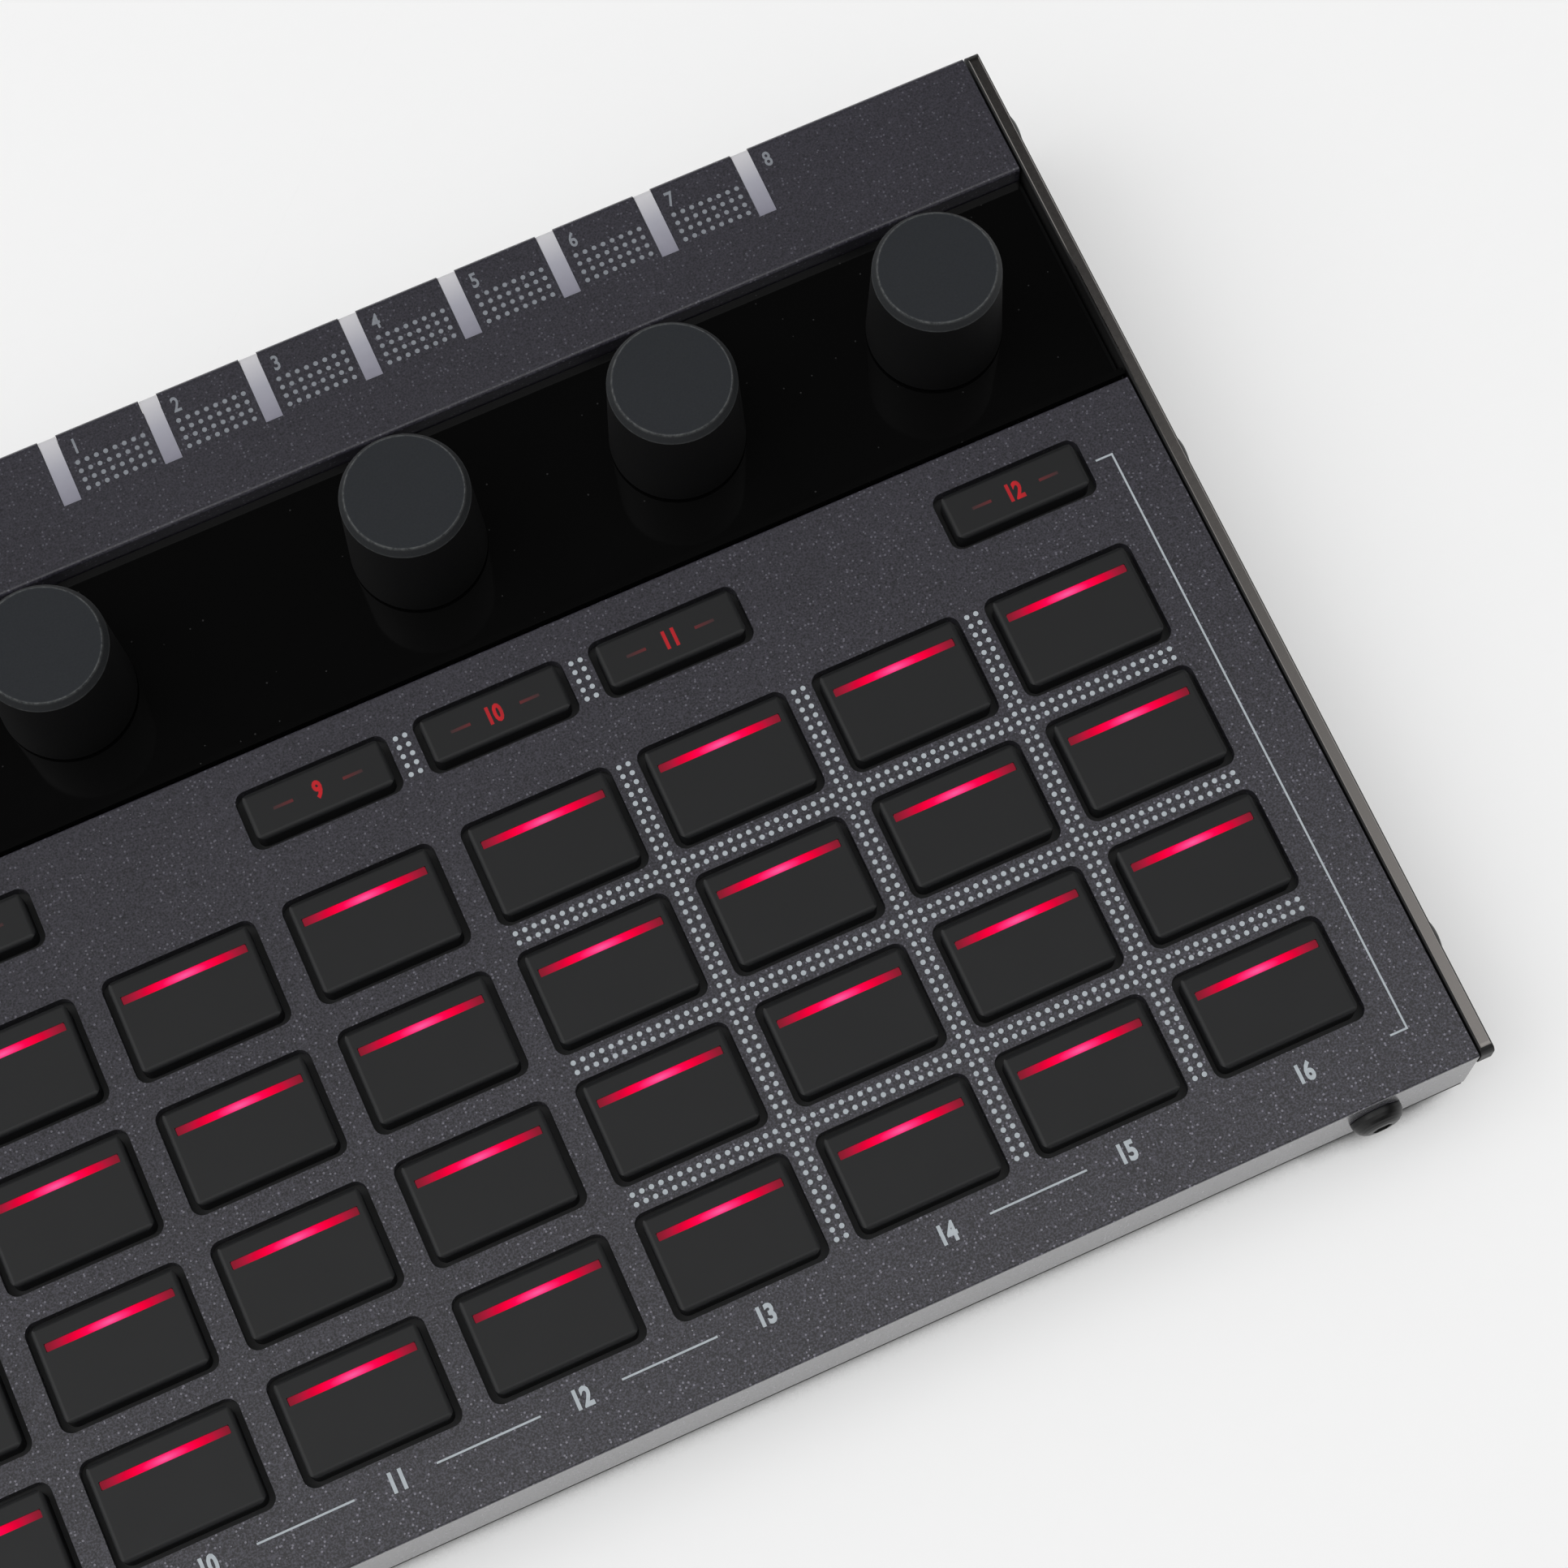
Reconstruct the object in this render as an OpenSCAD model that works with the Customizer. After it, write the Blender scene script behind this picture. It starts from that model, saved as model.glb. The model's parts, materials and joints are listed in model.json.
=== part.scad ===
// Desktop step sequencer: a wedge case with a grid of lit step keys, a row of function buttons,
// encoder knobs on a sunk gloss strip and a row of jacks along the back wall.
// Panel frame: x across, y back from the panel's front edge, z out of the panel's face.

/* [Case] */
// Width of the front panel
panel_w = 333.6; // [330:0.2:345]
// Depth of the front panel
panel_d = 82.3; // [81:0.1:90]
// Slope of the front panel
tilt = 6.4; // [4:0.1:9]
// Height of the panel's front edge over the table
front_h = 15.5; // [15:0.1:20]
// Thickness of the folded sheet
sheet_t = 1.5; // [1:0.1:1.8]
// Depth of the side flanges that take the cheek screws
flange_h = 10.5; // [10:0.1:12]
// Rounding of the panel's front fold
front_fold_r = 0.3; // [0.2:0.1:1.2]
// Least margin beside the key columns
side_margin = 6; // [5:0.1:6.5]

/* [Side cheeks] */
// Thickness of a cheek
cheek_t = 1.5; // [1:0.1:3]
// Shadow gap between the panel and a cheek
cheek_gap = 0.3; // [0.2:0.05:0.6]
// How far a cheek stands above the panel
cheek_rise = 0.2; // [0:0.05:0.6]
// Corner radius of a cheek
cheek_r = 1.1; // [0.5:0.1:3]
// Chamfer along a cheek's top edges
cheek_edge = 0.25; // [0.1:0.05:0.4]
// Height of a cheek's square front edge
cheek_front = 3; // [2:0.1:6]
// How far a cheek's front edge falls back at its foot
cheek_undercut = 3; // [1:0.1:5]

/* [Rear cover] */
// Depth of the ridge behind the strip
ridge_d = 15; // [14:0.1:20]
// Radius of the fold between the ridge and the back wall
back_fold_r = 0.7; // [0.5:0.1:1.5]
// Radius of the ridge's front edge
ridge_edge_r = 0.4; // [0.2:0.1:0.8]
// Depth of the ledge that carries the strip
ledge_d = 4.7; // [3:0.1:5]

/* [Control strip] */
// Clear depth of the strip's floor
strip_d = 25.7; // [25:0.1:30]
// How far the floor lies below the panel
strip_drop = 2.6; // [2:0.1:3]
// Thickness of the floor
strip_t = 1.6; // [1.2:0.1:1.8]
// Thickness of the strip's front rim
rim_t = 0.75; // [0.4:0.05:1]
// Groove between the panel and the rim
groove_w = 0.45; // [0.3:0.05:1]
// How far the strip's tongue reaches under the panel
tongue_d = 2.7; // [2:0.1:3]

/* [Step keys] */
// Steps in a row, as far as the panel's width holds them
step_count = 16; // [8:1:16]
// Column pitch
key_pitch_x = 20; // [19.6:0.1:20.4]
// Row pitch
key_pitch_y = 15; // [14.6:0.1:15.2]
// Centre of the front row from the panel's front edge
front_row_y = 14.5; // [13.5:0.1:15]
// Width of a key's cut-out
key_cut_w = 17; // [16:0.1:17.6]
// Depth of a key's cut-out
key_cut_d = 12; // [11:0.1:12.4]
// Corner radius of the cut-outs
cut_r = 1.3; // [0.8:0.1:2]
// Gap between a cap and its cut-out
key_gap = 0.75; // [0.4:0.05:0.9]
// Height of a cap over the panel
key_rise = 1.2; // [0.8:0.1:2]
// Rounding of a cap's top edges
key_edge_r = 0.5; // [0.3:0.1:1]
// Travel of keys and buttons
key_travel = 1.4; // [0.8:0.1:1.5]

/* [Light slots] */
// Width of a light slot
slot_w = 13.8; // [10:0.1:14]
// Depth of a light slot across the key
slot_d = 0.9; // [0.6:0.1:1.4]
// How deep a light slot is sunk
slot_h = 0.4; // [0.2:0.1:0.6]
// Light slot's distance behind the key's centre
slot_y = 2.8; // [2.4:0.1:3]

/* [Function buttons] */
// Centre of the button row from the panel's rear edge
button_row_y = 7.3; // [7:0.1:8.8]
// Depth of a button's cut-out
button_cut_d = 6.8; // [6.4:0.1:7.2]

/* [Knobs] */
// Distances of the knobs from the panel's right side
knob_x = [116.8, 76.6, 46.4, 16]; // [15:0.1:125]
// Distance of the knob row from the strip's front rim
knob_y = 13.5; // [12.5:0.1:14.5]
// Diameter of a knob at its top
knob_top_d = 13.8; // [13:0.1:15]
// Diameter of a knob at its foot
knob_foot_d = 14.8; // [14.4:0.1:16]
// Height of a knob
knob_h = 15.2; // [14:0.1:22]
// Gap between a knob and the strip
knob_gap = 0.5; // [0.3:0.1:1]
// Width of the chamfer round a knob's top
knob_edge = 0.6; // [0.2:0.05:0.8]
// Height of that chamfer
knob_edge_h = 1; // [0.2:0.05:1.4]

/* [Encoders] */
// Width of an encoder's body
encoder_w = 12.4; // [11:0.1:13]
// Depth of an encoder's body
encoder_d = 13.2; // [12:0.1:14]
// Diameter of an encoder's threaded bush
bush_d = 7; // [6.8:0.1:7.6]
// Diameter of an encoder's shaft
shaft_d = 6; // [5.6:0.1:6.1]
// Flat cut from one side of the shaft
shaft_flat = 1.5; // [1:0.1:2]
// Nut width across its flats
nut_af = 9.5; // [9:0.1:10]
// Nut height
nut_h = 2; // [1.6:0.1:2.4]

/* [Jacks] */
// Jacks in the row, as far as the panel's width holds them
jack_count = 22; // [17:1:22]
// Number of jacks with a light guide, from the right
lit_count = 17; // [8:1:17]
// Distance between jacks
jack_pitch = 11.62; // [11:0.01:11.7]
// Distance of the right-hand jack from the panel's right side
jack_x = 27.1; // [25:0.1:29]
// Depth of the jack row below the ridge's face
jack_z = 12; // [11:0.1:12.5]
// Bore of a jack
jack_bore_d = 3.6; // [3.5:0.05:3.7]
// Diameter of a jack's threaded bush
jack_bush_d = 6; // [5.8:0.1:6.4]
// How far a bush stands out of the back wall
jack_out = 2.2; // [1.8:0.1:3]
// Width of a jack's body
jack_w = 9; // [8:0.1:10]
// Height of a jack's body
jack_h = 10.5; // [9:0.1:11]
// Depth of a jack's body
jack_d = 9.6; // [9:0.1:10]
// Diameter of a jack's ring nut
jack_nut_d = 8; // [7.6:0.1:9]
// Height of a jack's ring nut
jack_nut_h = 1.8; // [1.2:0.1:2]

/* [Light guides] */
// Width of a guide's slot in the ridge
guide_w = 2.1; // [1.8:0.1:2.6]
// Length of a guide on the ridge
guide_l = 8.3; // [6:0.1:9]
// How far a guide reaches down the back wall
guide_drop = 4; // [3:0.1:4.5]

/* [Power and USB] */
// Distance of the USB socket from the panel's left side
usb_x = 45.8; // [43:0.1:48]
// Width of the USB shell
usb_w = 9; // [8.9:0.1:9.4]
// Height of the USB shell
usb_h = 3.3; // [3.2:0.1:3.6]
// Distance of the power socket from the panel's left side
power_x = 28.8; // [27:0.1:31]
// Mouth of the power socket
power_mouth_d = 6.4; // [6:0.1:7]
// Distance of the power button from the panel's left side
switch_x = 13.8; // [12:0.1:16]
// Diameter of the power button
switch_d = 6; // [5:0.1:7]
// How far the power button stands out
switch_out = 2.4; // [2:0.1:3]
// Travel of the power button
switch_travel = 1.5; // [1:0.1:1.8]

/* [Boards] */
// Thickness of the boards
board_t = 1.6; // [1.2:0.1:1.8]
// Depth of the main board's face below the panel
board_z = 7.8; // [7.6:0.1:8.4]
// Front edge of the main board
board_y = 6; // [5:0.1:7]

/* [Display] */
// Width of the display module
display_w = 68; // [50:1:80]
// Depth of the display module
display_d = 16; // [12:0.5:16.5]
// Place of the display module across the strip
display_x = -10; // [-40:1:-5]

/* [Base and feet] */
// Thickness of the base plate
base_t = 1.5; // [1:0.1:2]
// Diameter of a foot
foot_d = 7.4; // [6:0.1:10]
// Height of a foot
foot_h = 3; // [2.4:0.1:4]
// Distance of the feet from the panel's sides
foot_inset_x = 9; // [8:0.5:14]
// Distance of the rear feet from the plate's rear edge
foot_inset_y = 12; // [8:0.5:20]
// Diameter of a board standoff
post_d = 6; // [5:0.1:7]

/* [Screws] */
// Thread diameter
screw_d = 3; // [2.5:0.1:3]
// Diameter of the button head
screw_head_d = 5.7; // [5.2:0.1:6]
// Head height
screw_head_h = 1.65; // [1.2:0.05:1.8]
// Rounding of the head
screw_head_r = 1.5; // [0.8:0.1:1.5]
// Size of the hexagon socket
screw_hex = 2; // [1.5:0.1:2.2]
// Depth of the hexagon socket
screw_hex_h = 1; // [0.6:0.1:1]
// Distance of the lip's screws from the panel's sides
lip_screw_x = 11; // [9:0.1:20]
// Depth of the lip's screws below the panel's face
lip_screw_z = 6.3; // [5.6:0.1:7]

/* [Fits] */
// Gap between pieces that seat on each other
seat = 0.05; // [0.03:0.01:0.1]
// Radial clearance of an encoder shaft
shaft_fit = 0.05; // [0.03:0.01:0.09]
// Clearance of parts that slide
slide_fit = 0.3; // [0.25:0.05:0.4]

/* [Hidden] */
$fn = 48;
knob_count = len(knob_x);
shadow_black = "#17181a";
key_black = "#242627";
panel_grey = "#3e3c42";
steel = "#b8bcc0";
board_green = "#1d4a33";

// Heights and depths in the panel frame
rim_y = panel_d + groove_w;
strip_y = rim_y + rim_t;
tongue_y = rim_y - tongue_d;
ridge_y = strip_y + strip_d;
back_y = ridge_y + ridge_d;
wall_y = back_y - sheet_t;
strip_face = -strip_drop;
strip_under = strip_face - strip_t;
button_y = panel_d - button_row_y;
knob_row = strip_y + knob_y;
left = -panel_w / 2;
right = panel_w / 2;
panel_edge_r = 0.2;
past = 1;
fold_gap = 0.2;
root = 0.5;
board_face = -board_z;
board_under = board_face - board_t;
board_back_gap = 2;
board_end = ridge_y - board_back_gap;
mat_side = 2;

// Patterns: as many columns, rows and jacks as the case holds
row_web = 3;
columns = min(step_count, floor((panel_w - 2 * side_margin) / key_pitch_x));
rows_d = button_y - front_row_y - (key_cut_d + button_cut_d) / 2 - row_web;
rows = 1 + floor(rows_d / key_pitch_y);
button_columns = [for (c = [1, 3, 4, 5, 6, 8, 9, 10, 12, 13, 14, 16]) if (c <= columns) c];
jack_usb_gap = 12;
jacks = min(jack_count, 1 + floor((panel_w - jack_x - usb_x - jack_usb_gap) / jack_pitch));

// Keys: flange under the panel, plunger over the board, mat between them
flange_over = 0.6;
flange_gap = 0.2;
key_flange_t = 1.2;
flange_top = -(sheet_t + flange_gap);
flange_under = flange_top - key_flange_t;
mat_face = flange_under - key_travel - slide_fit;
plunger_end = board_face + key_travel + slide_fit;
plunger_w = 8;
plunger_d = 3.4;
plunger_y = -2.4;
light_roof = 0.8;
light_d = 2;
well_r = 0.8;
well_w = slot_w + 2 * slide_fit;
well_d = 2 * max(slot_y + light_d / 2, plunger_d / 2 - plunger_y) + 2 * slide_fit;
button_cap_d = button_cut_d - 2 * key_gap;
button_leg_d = 3;
button_well_d = button_leg_d + 6 * slide_fit;
button_leg_x = 5;
lamp = [3.2, 1.2, 0.6];

// Encoders and knobs
encoder_top = strip_under - 2 * seat;
bush_over = 1;
bush_top = strip_face + nut_h + bush_over;
knob_foot = strip_face + knob_gap;
knob_top = knob_foot + knob_h;
knob_hollow_d = nut_af / cos(30) + 3 * slide_fit;
knob_hollow_top = bush_top + slide_fit;
shaft_floor = 1;
shaft_end = board_face + shaft_floor;
knob_roof = 3;
knob_fit = 0.02;
display_front = 3;

// Jack row
jack_body_y = wall_y - 2 * seat - jack_d;
jack_board_y = jack_body_y - seat - board_t;
jack_board_top = -3;
jack_board_edge = 3;
jack_board_low = -jack_z - jack_h / 2 - jack_board_edge;
jack_board_side = 4;
jack_floor = 1.4;
jack_hole_fit = 0.2;
jack_nut_edge = 0.4;
jack_nut_slot = 1.2;
guide_fit = 0.05;
guide_step = 2.9;
guide_low = -jack_z + jack_h / 2 + 3 * seat;
guide_set = 0.1;

// Power switch and USB socket
switch_flange = 1.2;
switch_rim = 0.8;
switch_edge = 0.4;
switch_stem_d = 3;
switch_stem_in = 2;
switch_cap_y = wall_y - slide_fit - switch_flange;
switch_face = switch_cap_y - switch_travel - slide_fit;
usb_wall = 0.3;
usb_mouth = 7;
usb_out = 0.2;
usb_tongue_side = 1.2;
usb_tongue_t = 0.7;
power_mouth = 9;
power_wall = 0.75;
power_pin_d = 2;
power_barrel_d = power_mouth_d + power_wall;

// Table frame: the panel frame turned by the slope and lifted to the panel's front edge
function table_y(y, z) = y * cos(tilt) - z * sin(tilt);
function table_z(y, z) = front_h + y * sin(tilt) + z * cos(tilt);
function level(y, h) = (h - front_h - y * sin(tilt)) / cos(tilt);
base_face = foot_h + base_t;
lip_h = -level(0, base_face + seat);
lip_set = 0.3;
base_front = table_y(0, -lip_h) + lip_set;
base_back = table_y(back_y, level(back_y, base_face));
jack_reach = table_y(back_y + jack_out, -jack_z - jack_bush_d / 2);
nut_reach = table_y(back_y + jack_nut_h, -jack_z - jack_nut_d / 2);
switch_reach = table_y(back_y + switch_out, -jack_z - switch_d / 2);
back_reach = max(jack_reach, nut_reach, switch_reach, base_back);
front_reach = table_y(-screw_head_h - seat, screw_head_d / 2 - screw_head_r - lip_screw_z);
depth = back_reach - front_reach;
cheek_x = panel_w / 2 + cheek_gap;
base_flange_x = panel_w / 2 - sheet_t - fold_gap;
screw_edge = 3;
screw_back = 8;
screw_z = -(flange_h - screw_edge);
cheek_screws_at = [for (y = [front_row_y, panel_d - screw_back, back_y - ridge_d / 2]) [y, screw_z]];
screw_hole_d = screw_d + 2 * seat;
screw_end = 1;
post_inset_x = 14;
post_x = [left + post_inset_x, 0, right - post_inset_x];
post_inset_y = 12;
post_edge = 1;
post_screw_l = 2;
post_hole_l = 2.4;
post_y = [board_y + post_inset_y, board_end - post_inset_y];

function two_digits(n) = n < 10 ? str("0", n) : str(n);
function column_x(c) = (c - (columns + 1) / 2) * key_pitch_x;
function row_y(r) = front_row_y + (r - 1) * key_pitch_y;
function key_node(c) = str("step_keys_col_", two_digits(c));
function button_node(c) = str("function_button_", two_digits(c));

// Corner b between a and c, rounded to radius r as a short arc
function unit(v) = v / norm(v);
function corner(a, b, c, r) =
  r <= 0 ? [b] :
  let (
    u = unit(a - b),
    v = unit(c - b),
    half = acos(u * v) / 2,
    centre = b + unit(u + v) * r / sin(half),
    start = b + u * r / tan(half) - centre,
    from = atan2(start.y, start.x),
    turn = sign(cross(b - a, c - b)) * (180 - 2 * half),
    steps = 6
  )
  [for (i = [0:steps]) centre + r * [cos(from + turn * i / steps), sin(from + turn * i / steps)]];
function flat(p) = [p[0], p[1]];
function rounded(p) =
  let (n = len(p))
  [for (i = [0:n - 1])
    each corner(flat(p[(i + n - 1) % n]), flat(p[i]), flat(p[(i + 1) % n]), p[i][2])];

// The table frame, moved so that the part's box is centred over the origin
module on_table() {
  translate([0, -(front_reach + back_reach) / 2, 0]) children();
}
module on_panel() {
  on_table() translate([0, 0, front_h]) rotate([tilt, 0, 0]) children();
}
// A profile drawn in y and z, drawn out along x
module along_x(w) {
  rotate([90, 0, 90]) linear_extrude(w, center = true) children();
}
// A profile drawn in x and z, drawn out along y
module along_y(d) {
  rotate([90, 0, 0]) linear_extrude(d, center = true) children();
}
// A cylinder that points back, from y = 0
module back_pin(d, l) {
  rotate([-90, 0, 0]) cylinder(d = d, h = l);
}
module rounded_rect(w, d, r) {
  square([w - 2 * r, d], center = true);
  square([w, d - 2 * r], center = true);
  for (x = [-1, 1], y = [-1, 1]) translate([x * (w / 2 - r), y * (d / 2 - r)]) circle(r);
}
// Upright profile with both top corners rounded
module soft_top(w, low, top, r) {
  translate([-w / 2, low]) square([w, top - r - low]);
  translate([-w / 2 + r, low]) square([w - 2 * r, top - low]);
  for (x = [-1, 1]) translate([x * (w / 2 - r), top - r]) circle(r);
}
module at_keys() {
  for (c = [1:columns], r = [1:rows]) translate([column_x(c), row_y(r), 0]) children();
}
module at_buttons() {
  for (c = button_columns) translate([column_x(c), button_y, 0]) children();
}
module at_jacks(count) {
  for (k = [0:count - 1]) translate([right - jack_x - k * jack_pitch, 0, -jack_z]) children();
}
module at_lit_jacks() {
  at_jacks(min(lit_count, jacks)) children();
}
module at_knob(k) {
  translate([right - knob_x[k - 1], knob_row, 0]) children();
}
module at_knobs() {
  for (k = [1:knob_count]) at_knob(k) children();
}
module at_lip_screws() {
  for (x = [left + lip_screw_x, right - lip_screw_x]) translate([x, 0, -lip_screw_z]) children();
}
module at_posts() {
  for (x = post_x, y = post_y) translate([x, y, 0]) children();
}
// Holes for the cheek screws, through the cheeks and the flanges behind them
module cheek_screw_holes(places) {
  for (p = places) translate([0, p[0], p[1]])
    rotate([0, 90, 0]) cylinder(d = screw_hole_d, h = 2 * panel_w, center = true);
}

// Holes for the lip's screws, through the lip and the flange behind it
module lip_screw_holes() {
  at_lip_screws() translate([0, -past, 0]) back_pin(screw_hole_d, 2 * sheet_t + 2 * past);
}

// Case
module top_panel() {
  sheet = rounded([
    [0, -lip_h, 0], [sheet_t, level(sheet_t, base_face + seat), 0], [sheet_t, -sheet_t, 0],
    [panel_d, -sheet_t, 0], [panel_d, 0, panel_edge_r], [0, 0, front_fold_r]
  ]);
  flange_y = sheet_t + past;
  color(panel_grey) on_panel() difference() {
    union() {
      along_x(panel_w) polygon(sheet);
      for (side = [-1, 1]) translate([side * (panel_w - sheet_t) / 2, 0, 0])
        along_x(sheet_t) translate([flange_y, -flange_h])
          square([tongue_y - fold_gap - flange_y, flange_h - sheet_t / 2]);
    }
    at_keys() linear_extrude(4 * sheet_t, center = true) rounded_rect(key_cut_w, key_cut_d, cut_r);
    at_buttons() linear_extrude(4 * sheet_t, center = true) rounded_rect(key_cut_w, button_cut_d, cut_r);
    cheek_screw_holes([cheek_screws_at[0], cheek_screws_at[1]]);
    lip_screw_holes();
  }
}
module rear_cover() {
  ledge = strip_under - seat;
  sheet = rounded([
    [ridge_y - ledge_d, ledge - sheet_t, 0], [ridge_y + sheet_t, ledge - sheet_t, 0],
    [ridge_y + sheet_t, -sheet_t, 0], [wall_y, -sheet_t, 0],
    [wall_y, level(wall_y, base_face + seat), 0], [back_y, level(back_y, base_face + seat), 0],
    [back_y, 0, back_fold_r], [ridge_y, 0, ridge_edge_r],
    [ridge_y, ledge, 0], [ridge_y - ledge_d, ledge, 0]
  ]);
  flange_y = ridge_y + sheet_t;
  color(panel_grey) on_panel() difference() {
    union() {
      along_x(panel_w) polygon(sheet);
      for (side = [-1, 1]) translate([side * (panel_w - sheet_t) / 2, 0, 0])
        along_x(sheet_t) translate([flange_y, -flange_h]) square([wall_y - flange_y, flange_h - sheet_t]);
    }
    at_jacks(jacks) translate([0, wall_y - past, 0])
      back_pin(jack_bush_d + 2 * jack_hole_fit, sheet_t + 2 * past);
    translate([left + usb_x, back_y, -jack_z]) along_y(4 * sheet_t)
      rounded_rect(usb_w + 2 * slide_fit, usb_h + 2 * slide_fit, usb_h / 3);
    translate([left + power_x, wall_y - past, -jack_z])
      back_pin(power_barrel_d + 2 * seat, sheet_t + 2 * past);
    translate([left + switch_x, wall_y - past, -jack_z])
      back_pin(switch_d + 2 * slide_fit, sheet_t + 2 * past);
    at_lit_jacks() translate([-guide_w / 2, back_y - guide_l, jack_z - guide_drop])
      cube([guide_w, guide_l + past, guide_drop + past]);
    cheek_screw_holes([cheek_screws_at[2]]);
  }
}
module control_strip() {
  profile = [
    [tongue_y, strip_under], [ridge_y - 2 * seat, strip_under], [ridge_y - 2 * seat, strip_face],
    [strip_y, strip_face], [strip_y, 0], [rim_y, 0], [rim_y, -sheet_t - seat], [tongue_y, -sheet_t - seat]
  ];
  color(shadow_black) on_panel() difference() {
    along_x(panel_w) polygon(profile);
    at_knobs() translate([0, 0, strip_under - past]) cylinder(d = bush_d + 4 * seat, h = strip_t + 2 * past);
  }
}
module cheek() {
  low = foot_h;
  chamfer = cheek_edge * sqrt(2);
  outline = rounded([
    [table_y(0, cheek_rise), table_z(0, cheek_rise), cheek_r],
    [table_y(0, -cheek_front), table_z(0, -cheek_front), 0],
    [table_y(0, level(0, low)) + cheek_undercut, low, cheek_r],
    [table_y(back_y, level(back_y, low)), low, cheek_r],
    [table_y(back_y, cheek_rise), table_z(back_y, cheek_rise), cheek_r]
  ]);
  difference() {
    on_table() translate([cheek_t / 2, 0, 0]) along_x(cheek_t) polygon(outline);
    on_panel() {
      cheek_screw_holes(cheek_screws_at);
      for (x = [0, cheek_t]) translate([x, back_y / 2, cheek_rise]) rotate([0, 45, 0])
        cube([chamfer, 2 * back_y, chamfer], center = true);
    }
  }
}
module right_cheek() {
  color(shadow_black) translate([cheek_x, 0, 0]) cheek();
}
module left_cheek() {
  color(shadow_black) mirror([1, 0, 0]) translate([cheek_x, 0, 0]) cheek();
}
module base_tray() {
  flange_front = board_y;
  flange_back = ridge_y - ledge_d - 3 * fold_gap;
  flange_top_z = strip_under - slide_fit;
  side = [
    [table_y(flange_front, flange_top_z), foot_h], [table_y(flange_back, flange_top_z), foot_h],
    [table_y(flange_back, flange_top_z), table_z(flange_back, flange_top_z)],
    [table_y(flange_front, flange_top_z), table_z(flange_front, flange_top_z)]
  ];
  front_y = sheet_t + seat;
  front_top = -sheet_t - slide_fit;
  front = [
    [front_y, level(front_y, foot_h)], [front_y + sheet_t, level(front_y + sheet_t, foot_h)],
    [front_y + sheet_t, front_top], [front_y, front_top]
  ];
  color(shadow_black) difference() {
    union() {
      on_table() translate([left, base_front, foot_h]) cube([panel_w, base_back - base_front, base_t]);
      for (s = [-1, 1]) on_table() translate([s * (base_flange_x - sheet_t / 2), 0, 0])
        along_x(sheet_t) polygon(side);
      on_panel() along_x(2 * base_flange_x) polygon(front);
    }
    on_panel() cheek_screw_holes([cheek_screws_at[0], cheek_screws_at[1]]);
    on_panel() lip_screw_holes();
    on_table() at_posts() cylinder(d = screw_hole_d, h = base_face + past);
  }
}
module rubber_feet() {
  edge = 0.6;
  draft = 0.5;
  sole_d = foot_d - 2 * draft;
  front = base_front + foot_d / 2 + fold_gap;
  x = panel_w / 2 - foot_inset_x;
  color("#1a1a1b") on_table()
    for (side = [-1, 1], y = [front, base_back - foot_inset_y]) translate([side * x, y, 0])
      rotate_extrude() polygon([
        [0, 0], [sole_d / 2 - edge, 0], [sole_d / 2, edge], [foot_d / 2, foot_h - seat], [0, foot_h - seat]
      ]);
}

// Screw with a button head seated over z = 0 and its thread below
module screw(length) {
  head = rounded([
    [0, 0, 0], [screw_head_d / 2, 0, 0], [screw_head_d / 2, screw_head_h, screw_head_r], [0, screw_head_h, 0]
  ]);
  translate([0, 0, seat]) difference() {
    union() {
      translate([0, 0, -length]) cylinder(d = screw_d, h = length + root);
      rotate_extrude() polygon(head);
    }
    translate([0, 0, screw_head_h - screw_hex_h])
      cylinder(d = screw_hex / cos(30), h = screw_hex_h + past, $fn = 6);
  }
}
module cheek_screws() {
  length = cheek_t + cheek_gap + 2 * sheet_t + screw_end;
  color("#2a2b2d") for (side = [0, 1]) mirror([side, 0, 0]) on_panel()
    for (p = cheek_screws_at) translate([cheek_x + cheek_t, p[0], p[1]]) rotate([0, 90, 0]) screw(length);
}
module base_screws() {
  post_l = base_t + post_screw_l;
  lip_l = 2 * sheet_t + screw_end;
  color("#2a2b2d") {
    on_table() at_posts() translate([0, 0, foot_h]) rotate([180, 0, 0]) screw(post_l);
    on_panel() at_lip_screws() rotate([90, 0, 0]) screw(lip_l);
  }
}

// Boards, mat and lamps
module main_board() {
  w = panel_w - 2 * post_inset_x + post_d + 2 * post_edge;
  color(board_green) on_panel()
    translate([-w / 2, board_y, board_under]) cube([w, board_end - board_y, board_t]);
}
module board_standoffs() {
  color(steel) difference() {
    on_table() at_posts() translate([0, 0, base_face + seat]) cylinder(d = post_d, h = depth / 2);
    on_panel() translate([-panel_w, -back_y / 2, board_under - seat]) cube([2 * panel_w, 2 * back_y, depth]);
    on_table() at_posts() cylinder(d = screw_hole_d, h = base_face + post_hole_l);
  }
}
module keypad_mat() {
  w = column_x(columns) - column_x(1) + well_w + 2 * mat_side;
  front = row_y(1) - well_d / 2 - mat_side;
  back = button_y + button_well_d / 2 + mat_side;
  color("#3a3b3c") on_panel() difference() {
    translate([-w / 2, front, board_face + seat]) cube([w, back - front, mat_face - board_face - seat]);
    at_keys() translate([0, 0, board_face - past])
      linear_extrude(board_z) rounded_rect(well_w, well_d, well_r);
    at_buttons() translate([0, 0, board_face - past])
      linear_extrude(board_z) rounded_rect(well_w, button_well_d, well_r);
  }
}
module key_lamps() {
  color("#e8e4d8") on_panel() {
    at_keys() translate([-lamp.x / 2, slot_y - lamp.y / 2, board_face + seat]) cube(lamp);
    at_buttons() translate([-lamp.x / 2, -lamp.y / 2, board_face + seat]) cube(lamp);
  }
}

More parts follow.
